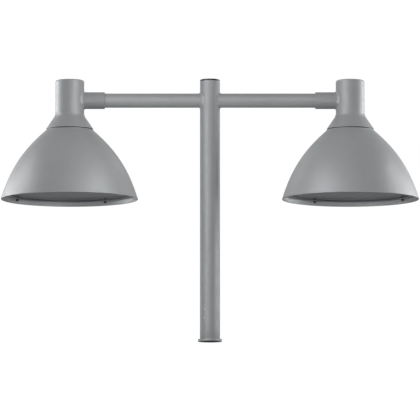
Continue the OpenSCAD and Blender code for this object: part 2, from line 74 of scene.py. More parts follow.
# Sizes shared with the design, in millimetres, heights from the arm axis
POST_R, ARM_R, NECK_R, SLEEVE_R = 44.45, 31.75, 64.25, 37.5
POST_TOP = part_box("post_tube")[1].z / MM
CAP_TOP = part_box("post_cap")[1].z / MM
RIM_R, SHADE_BASE, SHADE_TOP, SHADE_TOP_R = 304.75, 442.0, 132.4, 106.5
NECK_TOP, NECK_BASE, SKIRT_START, SKIRT_A, FILLET = 90.5, 128.4, 54.0, math.radians(34), 43.0
SEAT_Z, SINK_Z, DOOR_BASE, HINGE_BASE = -414.0, -379.0, 425.0, 431.0
HINGE_R, LATCH_R = 286.0, 283.0


# ------------------------------------------------------------------ camera
def make_camera():
    cam = bpy.data.cameras.new("camera")
    cam.sensor_width = 36.0
    cam.lens = 351.0
    cam.clip_start, cam.clip_end = 0.5, 200.0
    obj = bpy.data.objects.new("camera", cam)
    bpy.context.scene.collection.objects.link(obj)
    pitch = math.radians(6.2)
    target = Vector((0.0, 0.0, 0.5867))
    dist = 18.2
    obj.location = target + Vector((0, -math.cos(pitch), -math.sin(pitch))) * dist
    obj.rotation_euler = (target - obj.location).to_track_quat("-Z", "Y").to_euler()
    bpy.context.scene.camera = obj
    return obj


make_camera()


# ------------------------------------------------------------------ mesh tools
def link(obj):
    bpy.context.scene.collection.objects.link(obj)
    return obj


def obj_from(name, verts, faces, angle=32.0):
    me = bpy.data.meshes.new(name)
    me.from_pydata([tuple(v) for v in verts], [], faces)
    bm = bmesh.new()
    bm.from_mesh(me)
    bmesh.ops.remove_doubles(bm, verts=bm.verts, dist=1e-7)
    bmesh.ops.recalc_face_normals(bm, faces=bm.faces)
    bm.to_mesh(me)
    bm.free()
    o = link(bpy.data.objects.new(name, me))
    smooth(o, angle)
    return o


def smooth(o, angle=32.0):
    me = o.data
    me.polygons.foreach_set("use_smooth", [True] * len(me.polygons))
    me.set_sharp_from_angle(angle=math.radians(angle))
    me.update()


def rounded(points, seg=6):
    """Closed outline of (x, y, corner radius) with its corners rounded."""
    n, out = len(points), []
    for i, (x, y, rad) in enumerate(points):
        p = Vector((x, y))
        a = Vector(points[i - 1][:2]) - p
        b = Vector(points[(i + 1) % n][:2]) - p
        if rad <= 0 or a.length < 1e-9 or b.length < 1e-9:
            out.append(p)
            continue
        la, lb = a.length, b.length
        a.normalize(), b.normalize()
        half = a.angle(b) / 2
        t = min(rad / math.tan(half), 0.49 * la, 0.49 * lb)
        r = t * math.tan(half)
        c = p + (a + b).normalized() * (r / math.sin(half))
        v0, v1 = p + a * t - c, p + b * t - c
        ang = v0.angle(v1)
        sg = 1 if v0.x * v1.y - v0.y * v1.x > 0 else -1
        for k in range(seg + 1):
            th = sg * ang * k / seg
            ct, st = math.cos(th), math.sin(th)
            out.append(c + Vector((v0.x * ct - v0.y * st, v0.x * st + v0.y * ct)))
    return out


def densify(prof, longest):
    out = []
    n = len(prof)
    for i in range(n):
        a, b = Vector(prof[i]), Vector(prof[(i + 1) % n])
        k = max(1, int(math.ceil((b - a).length / longest)))
        if a.x < 1e-6 and b.x < 1e-6:
            k = 1
        for j in range(k):
            out.append(a.lerp(b, j / k))
    return out


def lathe(name, prof, origin=(0, 0, 0), n=192, axis="Z", angle=32.0, turn=0.0):
    """Spins a closed outline of (radius, height), in mm, round an axis through origin."""
    verts, rings = [], []
    for p in prof:
        r, z = p[0], p[1]
        if r < 1e-6:
            rings.append([len(verts)])
            verts.append((0.0, 0.0, z))
        else:
            base = len(verts)
            rings.append(list(range(base, base + n)))
            for k in range(n):
                t = 2 * math.pi * k / n + turn
                verts.append((r * math.cos(t), r * math.sin(t), z))
    faces = []
    m = len(rings)
    for i in range(m):
        a, b = rings[i], rings[(i + 1) % m]
        if len(a) == 1 and len(b) == 1:
            continue
        for k in range(n):
            k2 = (k + 1) % n
            if len(a) == 1:
                faces.append((a[0], b[k2], b[k]))
            elif len(b) == 1:
                faces.append((a[k], a[k2], b[0]))
            else:
                faces.append((a[k], a[k2], b[k2], b[k]))
    rot = Matrix.Identity(3)
    if axis == "X":
        rot = Matrix(((0, 0, 1), (0, 1, 0), (-1, 0, 0)))
    elif axis == "-X":
        rot = Matrix(((0, 0, -1), (0, 1, 0), (1, 0, 0)))
    elif isinstance(axis, Matrix):
        rot = axis
    o = Vector(origin)
    return obj_from(name, [(rot @ Vector(v) + o) * MM for v in verts], faces, angle)


def outline_prism(name, pts, z0, z1, place=Matrix.Identity(4), bevel=0.0, angle=32.0):
    """Extrudes an outline of (x, y), in mm, from z0 to z1, with a small chamfer round both ends."""
    n = len(pts)
    c = Vector((sum(p[0] for p in pts) / n, sum(p[1] for p in pts) / n))
    levels = [(z0, bevel), (z0 + bevel, 0.0), (z1 - bevel, 0.0), (z1, bevel)] if bevel > 0 else [(z0, 0.0), (z1, 0.0)]
    verts, faces = [], []
    for z, inset in levels:
        for p in pts:
            d = Vector((p[0], p[1])) - c
            q = c + d * max(0.0, 1 - inset / max(d.length, 1e-6))
            verts.append(place @ Vector((q.x, q.y, z)) * 1.0)
    for i in range(len(levels) - 1):
        for k in range(n):
            k2 = (k + 1) % n
            faces.append((i * n + k, i * n + k2, (i + 1) * n + k2, (i + 1) * n + k))
    faces.append(tuple(range(n - 1, -1, -1)))
    faces.append(tuple((len(levels) - 1) * n + k for k in range(n)))
    return obj_from(name, [v * MM for v in verts], faces, angle)


def rect(x0, y0, x1, y1, r=0.0, seg=5):
    return [(p.x, p.y) for p in rounded([(x0, y0, r), (x1, y0, r), (x1, y1, r), (x0, y1, r)], seg)]


def circle_pts(r, n, phase=0.0):
    return [(r * math.cos(2 * math.pi * k / n + phase), r * math.sin(2 * math.pi * k / n + phase)) for k in range(n)]


def boolean(a, b, operation, keep=False, angle=32.0):
    """Applies an exact boolean to a, and removes b."""
    m = a.modifiers.new("cut", "BOOLEAN")
    m.object, m.operation, m.solver = b, operation, "EXACT"
    dg = bpy.context.evaluated_depsgraph_get()
    dg.update()
    new = bpy.data.meshes.new_from_object(a.evaluated_get(dg), depsgraph=dg)
    a.modifiers.clear()
    a.data = new
    if not keep:
        bpy.data.objects.remove(b)
    bm = bmesh.new()
    bm.from_mesh(new)
    bmesh.ops.remove_doubles(bm, verts=bm.verts, dist=2e-7)
    bmesh.ops.dissolve_degenerate(bm, edges=bm.edges, dist=1e-7)
    bm.to_mesh(new)
    bm.free()
    smooth(a, angle)
    return a


def join(name, objs, angle=32.0):
    """One object from several separate solids, material slots kept."""
    mats, verts, faces, idx = [], [], [], []
    for o in objs:
        base = len(verts)
        slots = []
        for s in (o.data.materials or [None]):
            if s not in mats:
                mats.append(s)
            slots.append(mats.index(s))
        if not slots:
            if None not in mats:
                mats.append(None)
            slots = [mats.index(None)]
        verts += [tuple(v.co) for v in o.data.vertices]
        for p in o.data.polygons:
            faces.append([base + i for i in p.vertices])
            idx.append(slots[min(p.material_index, len(slots) - 1)])
    me = bpy.data.meshes.new(name)
    me.from_pydata(verts, [], faces)
    for m in mats:
        if m is not None:
            me.materials.append(m)
    if me.materials:
        me.polygons.foreach_set("material_index", idx)
    for o in objs:
        bpy.data.objects.remove(o)
    o = link(bpy.data.objects.new(name, me))
    smooth(o, angle)
    return o


def copy_of(o, name, matrix=None):
    me = o.data.copy()
    if matrix is not None:
        me.transform(matrix)
        if matrix.determinant() < 0:
            me.flip_normals()
    me.name = name
    return link(bpy.data.objects.new(name, me))


def local(side):
    """Head frame to the row frame: the left head as it is, the right one mirrored."""
    t = Matrix.Translation((-HX, 0, AZ))
    return t if side == "left" else Matrix.Scale(-1, 4, (1, 0, 0)) @ t


def polar(a, r, z=0.0):
    """Frame in mm at a plan angle: x is radial, y tangential."""
    return Matrix.Rotation(a, 4, "Z") @ Matrix.Translation((r, 0, z))


# ------------------------------------------------------------------ materials
def new_mat(name):
    m = bpy.data.materials.new(name)
    m.use_nodes = True
    return m, m.node_tree, m.node_tree.nodes["Principled BSDF"]


def node(nt, kind, **kw):
    n = nt.nodes.new(kind)
    for k, v in kw.items():
        if k in n.inputs:
            n.inputs[k].default_value = v
        else:
            setattr(n, k, v)
    return n


def noise(nt, coord, scale, detail=3.0, rough=0.5, stretch=None):
    if stretch is not None:
        mp = node(nt, "ShaderNodeMapping")
        mp.inputs["Scale"].default_value = stretch
        nt.links.new(coord, mp.inputs["Vector"])
        coord = mp.outputs["Vector"]
    n = node(nt, "ShaderNodeTexNoise", Scale=scale, Detail=detail, Roughness=rough)
    nt.links.new(coord, n.inputs["Vector"])
    return n.outputs["Fac"]


def ramp(nt, fac, stops):
    r = node(nt, "ShaderNodeValToRGB")
    els = r.color_ramp.elements
    while len(els) < len(stops):
        els.new(0.5)
    for e, (pos, c) in zip(els, stops):
        e.position = pos
        e.color = c if len(c) == 4 else (*c, 1.0)
    nt.links.new(fac, r.inputs["Fac"])
    return r.outputs["Color"]


def to_range(nt, fac, lo, hi, a=0.3, b=0.7):
    r = node(nt, "ShaderNodeMapRange")
    r.inputs["From Min"].default_value, r.inputs["From Max"].default_value = a, b
    r.inputs["To Min"].default_value, r.inputs["To Max"].default_value = lo, hi
    nt.links.new(fac, r.inputs["Value"])
    return r.outputs["Result"]


def mix(nt, kind, fac, a, b):
    m = node(nt, "ShaderNodeMix", data_type="RGBA", blend_type=kind)
    m.inputs[0].default_value = fac if not hasattr(fac, "node") else 1.0
    if hasattr(fac, "node"):
        nt.links.new(fac, m.inputs[0])
    for sock, v in ((m.inputs[6], a), (m.inputs[7], b)):
        if hasattr(v, "node"):
            nt.links.new(v, sock)
        else:
            sock.default_value = v if len(v) == 4 else (*v, 1.0)
    return m.outputs[2]


def bump(nt, height, strength, distance, base=None):
    b = node(nt, "ShaderNodeBump", Strength=strength, Distance=distance)
    nt.links.new(height, b.inputs["Height"])
    if base is not None:
        nt.links.new(base, b.inputs["Normal"])
    return b.outputs["Normal"]


def coord_of(nt):
    return node(nt, "ShaderNodeTexCoord").outputs["Object"]


def powder_coat(name, base=(0.268, 0.275, 0.283), metallic=0.30, rough=0.44):
    """Satin metallic grey powder coat: orange peel, fine flake, faint cloudiness and dust."""
    m, nt, b = new_mat(name)
    c = coord_of(nt)
    cloud = noise(nt, c, 3.1, 3.0)
    fleck = noise(nt, c, 1700.0, 2.0, 0.7)
    dust = noise(nt, c, 26.0, 6.0, 0.62)
    lo = tuple(v * 0.955 for v in base)
    hi = tuple(v * 1.045 for v in base)
    col = ramp(nt, cloud, [(0.3, lo), (0.7, hi)])
    fl = ramp(nt, fleck, [(0.36, (0.9, 0.9, 0.9)), (0.5, (1, 1, 1)), (0.66, (1.14, 1.14, 1.15))])
    col = mix(nt, "MULTIPLY", 0.8, col, fl)
    du = ramp(nt, dust, [(0.45, (1, 1, 1)), (0.8, (0.965, 0.96, 0.95))])
    col = mix(nt, "MULTIPLY", 1.0, col, du)
    nt.links.new(col, b.inputs["Base Color"])
    nt.links.new(to_range(nt, dust, rough - 0.03, rough + 0.045), b.inputs["Roughness"])
    b.inputs["Metallic"].default_value = metallic
    b.inputs["Specular IOR Level"].default_value = 0.5
    peel = noise(nt, c, 420.0, 2.0, 0.45)
    fine = noise(nt, c, 1500.0, 2.0, 0.6)
    n1 = bump(nt, peel, 0.10, 0.0006)
    nt.links.new(bump(nt, fine, 0.05, 0.0002, n1), b.inputs["Normal"])
    return m


def dark_coat(name, base=(0.046, 0.050, 0.056), rough=0.42):
    m, nt, b = new_mat(name)
    c = coord_of(nt)
    cloud = noise(nt, c, 14.0, 4.0)
    col = ramp(nt, cloud, [(0.3, tuple(v * 0.85 for v in base)), (0.7, tuple(v * 1.2 for v in base))])
    nt.links.new(col, b.inputs["Base Color"])
    nt.links.new(to_range(nt, noise(nt, c, 90.0, 4.0), rough - 0.06, rough + 0.08), b.inputs["Roughness"])
    nt.links.new(bump(nt, noise(nt, c, 900.0, 3.0, 0.6), 0.12, 0.0003), b.inputs["Normal"])
    return m


def gloss_plastic(name, base=(0.006, 0.006, 0.007), rough=0.16, grain=260.0, depth=0.04):
    m, nt, b = new_mat(name)
    c = coord_of(nt)
    col = ramp(nt, noise(nt, c, 45.0, 4.0), [(0.3, tuple(v * 0.8 for v in base)), (0.75, tuple(v * 1.4 for v in base))])
    nt.links.new(col, b.inputs["Base Color"])
    nt.links.new(to_range(nt, noise(nt, c, 120.0, 5.0, 0.6), rough * 0.8, rough * 1.35), b.inputs["Roughness"])
    nt.links.new(bump(nt, noise(nt, c, grain, 3.0), depth, 0.0004), b.inputs["Normal"])
    b.inputs["Coat Weight"].default_value = 0.25
    b.inputs["Coat Roughness"].default_value = 0.08
    return m


def rubber(name, base=(0.012, 0.012, 0.012), rough=0.72):
    m, nt, b = new_mat(name)
    c = coord_of(nt)
    col = ramp(nt, noise(nt, c, 160.0, 5.0, 0.6), [(0.3, tuple(v * 0.75 for v in base)), (0.7, tuple(v * 1.5 for v in base))])
    nt.links.new(col, b.inputs["Base Color"])
    nt.links.new(to_range(nt, noise(nt, c, 300.0, 3.0), rough - 0.08, rough + 0.1), b.inputs["Roughness"])
    nt.links.new(bump(nt, noise(nt, c, 1200.0, 3.0, 0.65), 0.2, 0.0003), b.inputs["Normal"])
    return m


def metal(name, base, rough, stretch=(1, 1, 1), scale=220.0, bump_s=0.05, tint=0.12):
    """Bare metal with drawn or turned marks, from stretched noise."""
    m, nt, b = new_mat(name)
    c = coord_of(nt)
    lines = noise(nt, c, scale, 4.0, 0.6, stretch)
    col = ramp(nt, lines, [(0.3, tuple(v * (1 - tint) for v in base)), (0.7, tuple(min(1.0, v * (1 + tint * 0.6)) for v in base))])
    nt.links.new(col, b.inputs["Base Color"])
    nt.links.new(to_range(nt, lines, rough - 0.07, rough + 0.09), b.inputs["Roughness"])
    nt.links.new(bump(nt, lines, bump_s, 0.0003), b.inputs["Normal"])
    b.inputs["Metallic"].default_value = 1.0
    return m


def spangle(name):
    """Galvanised sheet: soft crystals of slightly different brightness."""
    m, nt, b = new_mat(name)
    c = coord_of(nt)
    v = node(nt, "ShaderNodeTexVoronoi", Scale=90.0)
    nt.links.new(c, v.inputs["Vector"])
    g = node(nt, "ShaderNodeRGBToBW")
    nt.links.new(v.outputs["Color"], g.inputs["Color"])
    col = ramp(nt, g.outputs["Val"], [(0.2, (0.42, 0.43, 0.45)), (0.8, (0.62, 0.63, 0.65))])
    nt.links.new(col, b.inputs["Base Color"])
    nt.links.new(to_range(nt, g.outputs["Val"], 0.32, 0.5, 0.1, 0.9), b.inputs["Roughness"])
    nt.links.new(bump(nt, noise(nt, c, 500.0, 3.0), 0.06, 0.0003), b.inputs["Normal"])
    b.inputs["Metallic"].default_value = 0.9
    return m


def moulded(name, base, rough=0.5, grain=900.0):
    m, nt, b = new_mat(name)
    c = coord_of(nt)
    col = ramp(nt, noise(nt, c, 60.0, 4.0), [(0.3, tuple(v * 0.92 for v in base)), (0.7, tuple(min(1.0, v * 1.05) for v in base))])
    nt.links.new(col, b.inputs["Base Color"])
    nt.links.new(to_range(nt, noise(nt, c, 200.0, 3.0), rough - 0.06, rough + 0.06), b.inputs["Roughness"])
    nt.links.new(bump(nt, noise(nt, c, grain, 3.0), 0.12, 0.0003), b.inputs["Normal"])
    return m


def door_glass_mat():
    """Toughened grey glass: faint dust film and very slight waviness."""
    m, nt, b = new_mat("door_glass")
    c = coord_of(nt)
    film = noise(nt, c, 11.0, 6.0, 0.6)
    col = ramp(nt, film, [(0.3, (0.056, 0.063, 0.072)), (0.75, (0.078, 0.086, 0.097))])
    nt.links.new(col, b.inputs["Base Color"])
    nt.links.new(to_range(nt, film, 0.05, 0.13), b.inputs["Roughness"])
    nt.links.new(bump(nt, noise(nt, c, 7.0, 1.0), 0.03, 0.002), b.inputs["Normal"])
    b.inputs["Specular IOR Level"].default_value = 0.30
    b.inputs["Alpha"].default_value = 0.62
    return m


def lens_mat():
    m, nt, b = new_mat("lens_clear")
    c = coord_of(nt)
    col = ramp(nt, noise(nt, c, 40.0, 2.0), [(0.3, (0.78, 0.82, 0.86)), (0.7, (0.88, 0.9, 0.92))])
    nt.links.new(col, b.inputs["Base Color"])
    nt.links.new(to_range(nt, noise(nt, c, 90.0, 3.0), 0.04, 0.12), b.inputs["Roughness"])
    b.inputs["Alpha"].default_value = 0.45
    b.inputs["IOR"].default_value = 1.49
    return m


def phosphor():
    m, nt, b = new_mat("phosphor")
    c = coord_of(nt)
    col = ramp(nt, noise(nt, c, 700.0, 3.0), [(0.3, (0.78, 0.55, 0.10)), (0.7, (0.90, 0.70, 0.20))])
    nt.links.new(col, b.inputs["Base Color"])
    b.inputs["Roughness"].default_value = 0.45
    return m


MAT = {
    "powder_coat": powder_coat("powder_coat"),
    "stainless": metal("stainless", (0.52, 0.52, 0.53), 0.30, (1, 1, 8), 260.0),
    "black_screw": metal("black_screw", (0.045, 0.045, 0.05), 0.38, (1, 1, 1), 400.0),
    "gloss_black": gloss_plastic("gloss_black"),
    "latch_black": gloss_plastic("latch_black", (0.008, 0.008, 0.009), 0.34, 700.0, 0.1),
    "cable_black": rubber("cable_black", (0.016, 0.016, 0.017), 0.5),
    "rubber_black": rubber("rubber_black"),
    # grey rubber for the door gasket, partly its own tone and partly painted light: set lighter than the black rubber
    # to make up for the shade in the gap round the door
    "rubber_grey": rubber("rubber_grey", (0.100, 0.106, 0.114), 0.7),
    "moulded_beige": moulded("moulded_beige", (0.55, 0.51, 0.43)),
    "brass": metal("brass", (0.72, 0.50, 0.18), 0.3, (1, 1, 1), 300.0),
    "zinc_sheet": spangle("zinc_sheet"),
    "raw_aluminium": metal("raw_aluminium", (0.62, 0.63, 0.65), 0.36, (10, 1, 1), 60.0),
    "dark_coat": dark_coat("dark_coat"),
    # lighter copy of the dark coat for the door frame: painted light, lifted to make up for the shade in the recess
    # under the rim
    "frame_coat_painted_light": dark_coat("frame_coat_painted_light", (0.115, 0.122, 0.132)),
    "driver_case": moulded("driver_case", (0.62, 0.63, 0.64), 0.45),
    "surge_red": moulded("surge_red", (0.42, 0.03, 0.025), 0.4),
    "board_white": moulded("board_white", (0.72, 0.72, 0.70), 0.35),
    "lens_clear": lens_mat(),
    "door_glass": door_glass_mat(),
    "phosphor": phosphor(),
}
MAT["weld"] = powder_coat("weld_coat", (0.258, 0.265, 0.273), 0.30, 0.47)


def dress(o, mat):
    o.data.materials.clear()
    o.data.materials.append(MAT[mat])
    return o


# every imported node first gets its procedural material
for s in frame["record"]["subparts"]:
    o = frame["nodes"][s["node"]]
    mats = o.data.materials
    for i in range(max(1, len(mats))):
        if len(mats) == 0:
            mats.append(MAT[s["material_slot"]])
        else:
            mats[i] = MAT[s["material_slot"]]


# ------------------------------------------------------------------ post
def radial(a):
    """Rotation that sends +Z to the plan direction a."""
    x = Vector((math.cos(a), math.sin(a), 0))
    return Matrix((Vector((0, 0, -1)), Vector((-math.sin(a), math.cos(a), 0)), x)).transposed()


ROWS = [103.0, 142.0]
SET_A = [math.radians(232 + 120 * k) for k in range(3)]


def drill(target, r, rows=ROWS):
    for z in rows:
        for a in SET_A:
            c = lathe("drill", [(0, 30), (r, 30), (r, 60), (0, 60)], (0, 0, z), 48, radial(a))
            boolean(target, c, "DIFFERENCE")
    return target


def make_post():
    prof = rounded([(POST_R - 4, 11.5, 0.4), (POST_R, 11.5, 0.4), (POST_R, POST_TOP, 0.5), (POST_R - 4, POST_TOP, 0.5)], 3)
    tube = lathe("post_tube_skin", densify(prof, 60), n=160)
    hole = lathe("hole", [(0, -60), (17, -60), (17, 60), (0, 60)], (0, 0, AZ / MM), 64, "X")
    boolean(tube, hole, "DIFFERENCE")
    drill(tube, 5.1)
    dress(tube, "powder_coat")
    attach(tube, "post")
    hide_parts("post_tube")

    r = 38.4
    prof = rounded([(r, 0, 0.5), (53, 0, 1.2), (53, 11.5, 1.8), (40.4, 11.5, 0.3), (40.4, 165, 0.4), (30, 165, 0.6),
                    (30, 160, 0.6), (r, 160, 0.3)], 4)
    fit = lathe("pole_fitter_skin", densify(prof, 40), n=160)
    drill(fit, 5.1)
    dress(fit, "powder_coat")
    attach(fit, "post")
    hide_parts("pole_fitter")

    screws = []
    for z in ROWS:
        for a in SET_A:
            prof = rounded([(0, 39.2, 0), (4.4, 39.2, 0.5), (5.0, 40.0, 0.3), (5.0, 44.0, 0.5), (0, 44.2, 0)], 3)
            sc = lathe("set_screw", prof, (0, 0, z), 48, radial(a))
            hexcut = outline_prism("hex", circle_pts(2.9, 6), 41.3, 47, Matrix.Translation((0, 0, z)) @ radial(a).to_4x4())
            boolean(sc, hexcut, "DIFFERENCE")
            screws.append(sc)
    sc = join("pole_set_screws_skin", screws)
    dress(sc, "stainless")
    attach(sc, "post")
    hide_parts("pole_set_screws")

    ch = CAP_TOP - POST_TOP
    fr = 40.2
    prof = rounded([(0, ch, 0), (POST_R - 0.15, ch, 4.6), (POST_R - 0.15, 0.1, 0.5), (fr, 0.1, 0), (fr, -24, 1), (fr - 2.8, -24, 1),
                    (fr - 2.8, -3, 1.2), (0, -3, 0)], 8)
    cap = lathe("post_cap_skin", densify(prof, 12), (0, 0, POST_TOP), 160)
    dress(cap, "gloss_black")
    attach(cap, "post")
    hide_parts("post_cap")


make_post()


# ------------------------------------------------------------------ arms and welds
def make_arm(side):
    sg = -1 if side == "left" else 1
    n = 128
    ro, ri = ARM_R, ARM_R - 3.2
    x_end = HX / MM - 68
    verts, faces = [], []
    stations = []
    # outer skin from the cope at the post to the open end, round the end, and back along the bore
    steps = 24
    for i in range(steps + 1):
        stations.append((ro, i / steps, 0.0))
    for k in range(1, 4):
        t = k / 4 * math.pi / 2
        stations.append((ro - 0.5 * (1 - math.cos(t)), 1.0, 0.5 * math.sin(t)))
    stations.append((ro - 0.5, 1.0, 0.5))
    stations.append((ri, 1.0, 0.5))
    for i in range(steps, -1, -1):
        stations.append((ri, i / steps, 0.0))
    rings = []
    for r, f, e in stations:
        ring = []
        for k in range(n):
            t = 2 * math.pi * k / n
            y, z = r * math.cos(t), r * math.sin(t)
            x0 = math.sqrt((POST_R + 0.03) ** 2 - y * y)
            x = x0 + (x_end - 0.5 - x0) * f + e
            ring.append(len(verts))
            verts.append(Vector((sg * x, y, AZ / MM + z)) * MM)
        rings.append(ring)
    m = len(rings)
    for i in range(m):
        a, b = rings[i], rings[(i + 1) % m]
        for k in range(n):
            k2 = (k + 1) % n
            faces.append((a[k], a[k2], b[k2], b[k]))
    o = obj_from(side + "_arm_skin", verts, faces, 40)
    # slot that the locating screw runs in
    a0, a1 = math.radians(90 - 18.9), math.radians(90 + 18.9)
    cut_v, cut_f, cnt = [], [], 16
    for k in range(cnt + 1):
        t = a0 + (a1 - a0) * k / cnt
        for r in (26.0, 36.0):
            for dx in (-4.4, 4.4):
                # angle measured from -Z towards +Y
                cut_v.append(Vector((sg * (HX / MM - 115 + dx), r * math.sin(t), AZ / MM - r * math.cos(t))) * MM)
    for k in range(cnt):
        b, c = 4 * k, 4 * (k + 1)
        cut_f += [(b, b + 1, c + 1, c), (b + 2, c + 2, c + 3, b + 3), (b, c, c + 2, b + 2), (b + 1, b + 3, c + 3, c + 1)]
    e = 4 * cnt
    cut_f += [(0, 2, 3, 1), (e, e + 1, e + 3, e + 2)]
    boolean(o, obj_from("slot", cut_v, cut_f), "DIFFERENCE", angle=40)
    dress(o, "powder_coat")
    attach(o, "post")
    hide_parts(side + "_arm_tube")
    return o


def make_weld(sg):
    """Fillet bead round the saddle where an arm meets the post, with the ripple of a hand weld."""
    n, w = 288, 4.3
    verts, faces, rings = [], [], []
    for k in range(n):
        t = 2 * math.pi * k / n
        ca, sa = math.cos(t), math.sin(t)
        rip = 0.22 * math.sin(t * 46) + 0.12 * math.sin(t * 31 + 1.3)
        wr, wa = w + 0.35 * math.sin(t * 5 + 0.7) * 0.5, w + 0.3 * math.sin(t * 4 + 2.0) * 0.5
        y = ARM_R * ca
        p = Vector((math.sqrt(POST_R ** 2 - y * y), y, ARM_R * sa))
        t2 = p + Vector((wa, 0, 0))
        yy = (ARM_R + wr) * ca
        t1 = Vector((math.sqrt(POST_R ** 2 - yy * yy), yy, (ARM_R + wr) * sa))
        mid = (t1 + t2) / 2
        out = (mid - p).normalized()
        ctrl = mid + out * (0.55 + rip)
        ring = []
        for j in range(9):
            u = j / 8
            q = t1 * (1 - u) ** 2 + ctrl * 2 * u * (1 - u) + t2 * u * u
            ring.append(q)
        inner = p - out * 0.0
        ring.append(inner + Vector((0.02, 0, 0)))
        rings.append(ring)
    m = len(rings[0])
    for ring in rings:
        for q in ring:
            verts.append(Vector((sg * q.x, q.y, AZ / MM + q.z)) * MM)
    for k in range(n):
        k2 = (k + 1) % n
        for j in range(m):
            j2 = (j + 1) % m
            faces.append((k * m + j, k2 * m + j, k2 * m + j2, k * m + j2))
    return obj_from("weld", verts, faces, 60)


for side in ("left", "right"):
    make_arm(side)
w = join("arm_welds_skin", [make_weld(-1), make_weld(1)], 60)
dress(w, "weld")
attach(w, "post")
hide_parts("arm_welds")


# ------------------------------------------------------------------ heads
def head_piece(name, o, mat, body, nodes=(), angle=32.0):
    """Puts a piece made in the head frame (left head, metres) on both heads."""
    made = []
    for side in ("left", "right"):
        c = copy_of(o, f"{side}_{name}", local(side))
        smooth(c, angle)
        if mat is not None:
            dress(c, mat)
        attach(c, f"{side}_{body}")
        if nodes:
            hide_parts(*[f"{side}_{n}" for n in nodes])
        made.append(c)
    bpy.data.objects.remove(o)
    return made


def neck():
    fe = (NECK_R + FILLET * (1 - math.cos(SKIRT_A)), -SKIRT_START - FILLET * math.sin(SKIRT_A))
    skirt_r = fe[0] + (NECK_BASE - 1.2 + fe[1]) * math.tan(SKIRT_A)
    outer = [(0.0, NECK_TOP)]
    outer += [(p.x, p.y) for p in rounded([(0, NECK_TOP, 0), (NECK_R, NECK_TOP, 8.0), (NECK_R, -40, 0)], 10)[1:-1]]
    prof = [Vector(p) for p in outer]
    prof.append(Vector((NECK_R, -SKIRT_START)))
    for k in range(1, 13):
        t = math.pi + SKIRT_A * k / 12
        prof.append(Vector((NECK_R + FILLET + FILLET * math.cos(t), -SKIRT_START + FILLET * math.sin(t))))
    prof.append(Vector((skirt_r - 0.5, -NECK_BASE + 2.0)))
    prof += [Vector((skirt_r - 0.15, -NECK_BASE + 1.2)), Vector((skirt_r - 0.25, -NECK_BASE + 0.5)), Vector((skirt_r - 0.8, -NECK_BASE))]
    prof += [Vector((skirt_r - 14, -NECK_BASE)), Vector((skirt_r - 14, -NECK_BASE + 5)), Vector((fe[0] - 6, fe[1] - 6)),
             Vector((NECK_R - 6, -SKIRT_START)), Vector((NECK_R - 6, NECK_TOP - 8)), Vector((0, NECK_TOP - 8))]
    body = lathe("neck_body", densify(prof, 2.6), n=224)
    sl = lathe("sleeve", densify(rounded([(0, 20, 0), (SLEEVE_R, 20, 0), (SLEEVE_R, 156, 1.2), (0, 156, 0)], 4), 2.6), n=160, axis="X")
    core = lathe("core", [(0, -60), (NECK_R - 1.5, -60), (NECK_R - 1.5, 60), (0, 60)], n=224)
    boolean(sl, core, "DIFFERENCE")
    boolean(body, sl, "UNION")
    bore = lathe("bore", rounded([(0, 40, 0), (31.83, 40, 0), (31.83, 155.2, 0), (33.0, 156.6, 0), (33.0, 170, 0), (0, 170, 0)]), n=160, axis="X")
    boolean(body, bore, "DIFFERENCE")
    for x in (95, 135):
        c = lathe("hole", [(0, -60), (4.1, -60), (4.1, -25), (0, -25)], (x, 0, 0), 40)
        boolean(body, c, "DIFFERENCE")
    rot = Matrix(((1, 0, 0), (0, 0, 1), (0, -1, 0)))
    c = lathe("hole", [(0, 25), (4.1, 25), (4.1, 45), (0, 45)], (115, 0, 0), 40, rot)
    boolean(body, c, "DIFFERENCE")
    # cast fillet between the cylinder and the sleeve: vertices are drawn onto a rounded union of the two
    f = 7.0
    R, r = NECK_R, SLEEVE_R
    for v in body.data.vertices:
        x, y, z = v.co / MM
        rho, sig = math.hypot(x, y), math.hypot(y, z)
        if x < 0 or abs(z) > 53 or rho < R - 0.05 or sig < r - 0.05 or rho > R + f or sig > r + f:
            continue
        for _ in range(6):
            a, b = math.hypot(x, y) - R, math.hypot(y, z) - r
            if a >= f or b >= f:
                break
            u, w_ = max(f - a, 0.0), max(f - b, 0.0)
            l = math.hypot(u, w_)
            d = f - l
            if l < 1e-9:
                break
            ga = Vector((x, y, 0)).normalized()
            gb = Vector((0, y, z)).normalized()
            g = (ga * u + gb * w_) / l
            gg = g.dot(g)
            x, y, z = Vector((x, y, z)) - g * (d / max(gg, 1e-6))
        v.co = Vector((x, y, z)) * MM
    bosses = []
    smooth(body, 38)
    return body


def shade_profile():
    p0, p1, p2, p3 = (Vector(p) for p in ((SHADE_TOP_R, -SHADE_TOP - 2.9), (213, -227.5), (267, -317), (RIM_R, -SHADE_BASE)))
    w = 3.0

    def bez(t):
        return p0 * (1 - t) ** 3 + p1 * 3 * (1 - t) ** 2 * t + p2 * 3 * (1 - t) * t * t + p3 * t ** 3

    def slope(t):
        return (p1 - p0) * 3 * (1 - t) ** 2 + (p2 - p1) * 6 * (1 - t) * t + (p3 - p2) * 3 * t * t

    def inner(t):
        d = slope(t).normalized()
        return bez(t) + Vector((d.y, -d.x)) * w

    n = 72
    prof = [Vector((58, -SHADE_TOP)), Vector((SHADE_TOP_R - 1.6, -SHADE_TOP)), Vector((SHADE_TOP_R - 0.7, -SHADE_TOP - 0.25)),
            Vector((SHADE_TOP_R - 0.12, -SHADE_TOP - 0.9)), Vector((SHADE_TOP_R, -SHADE_TOP - 1.9))]
    prof += [bez(i / n) for i in range(n)]
    # rolled edge: the wall thickens to a small round bead on the inside of the rim
    c = Vector((RIM_R - 2.35, -SHADE_BASE + 1.15))
    for k in range(13):
        t = math.radians(10 - 190 * k / 12)
        prof.append(c + Vector((math.cos(t), math.sin(t))) * 2.3)
    prof += [inner(i / n) for i in range(n - 1, -1, -1)]
    prof += [Vector((SHADE_TOP_R - 4, -SHADE_TOP - 4)), Vector((58, -SHADE_TOP - 4))]
    return prof


